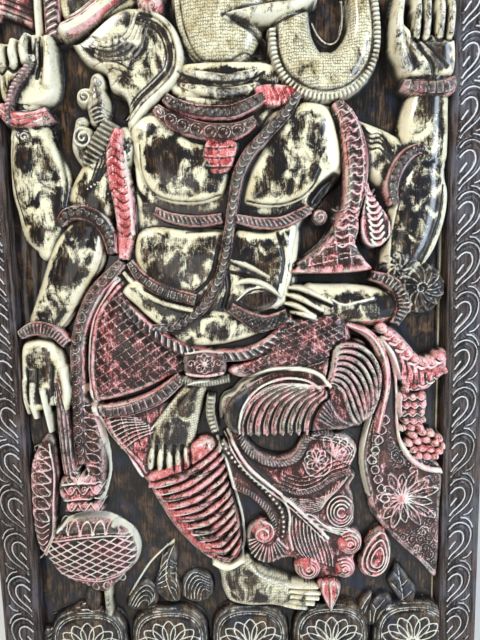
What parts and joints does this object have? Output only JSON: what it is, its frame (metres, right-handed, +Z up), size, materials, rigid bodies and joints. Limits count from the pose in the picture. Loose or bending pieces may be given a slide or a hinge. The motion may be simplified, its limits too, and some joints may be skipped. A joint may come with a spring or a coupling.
{
  "type": "carved temple door",
  "caption": "Framed timber door leaf with a high-relief standing elephant-headed figure on its panel and a carved leaf-scroll border; battened back.",
  "frame": {"origin": "middle of the bottom edge of the leaf, half way through the frame's depth", "axes": "+Z up the leaf, +X to the right as seen from the carved face, +Y from the carved face to the back"},
  "size_m": [0.915, 0.085, 2.032],
  "materials": {
    "frame_wood": "dark stained hardwood with chalk-white paint left in the cut lines, semi-gloss",
    "painted_carving": "distressed cream and coral paint over dark hardwood, lacquered",
    "back_wood": "planed dark hardwood",
    "nail_iron": "forged iron, blackened",
    "peg_wood": "end-grain hardwood pegs"
  },
  "bodies": {
    "root": {"left_stile": "frame_wood", "right_stile": "frame_wood", "top_rail": "frame_wood", "bottom_rail": "frame_wood", "carved_panel": "painted_carving", "batten_upper": "back_wood", "batten_middle": "back_wood", "batten_lower": "back_wood", "batten_nails": "nail_iron", "tenon_pegs": "peg_wood"}
  },
  "joints": []
}
